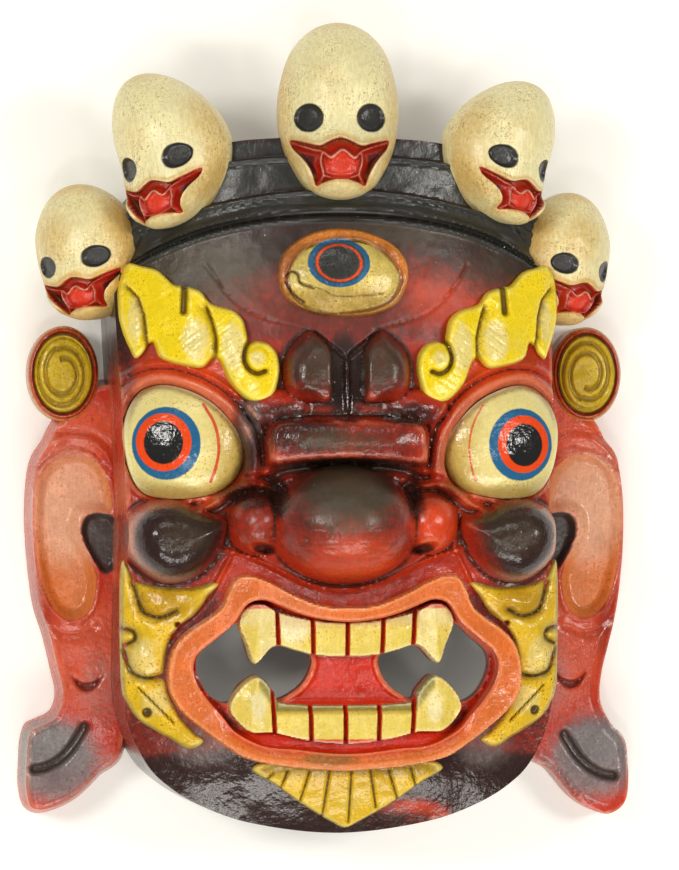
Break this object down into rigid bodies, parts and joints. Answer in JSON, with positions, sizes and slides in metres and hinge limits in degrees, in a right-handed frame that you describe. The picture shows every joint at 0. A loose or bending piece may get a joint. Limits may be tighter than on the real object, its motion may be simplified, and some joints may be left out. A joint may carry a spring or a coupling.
{
  "type": "carved wooden mask",
  "caption": "Carved wrathful wooden mask, hollow behind, with a third eye, bulging eyes, an open fanged mouth, flame brows, long ears with discs and a crown of skulls.",
  "frame": {"origin": "middle of the back plane on which the mask lies", "axes": "+Z out of the face, +Y towards the crown, +X to the right of someone who looks at the face"},
  "size_m": [0.272, 0.355, 0.122],
  "materials": {
    "painted_wood": "oil paint under gloss varnish"
  },
  "bodies": {
    "root": {"carved_mask": "painted_wood"}
  },
  "joints": []
}
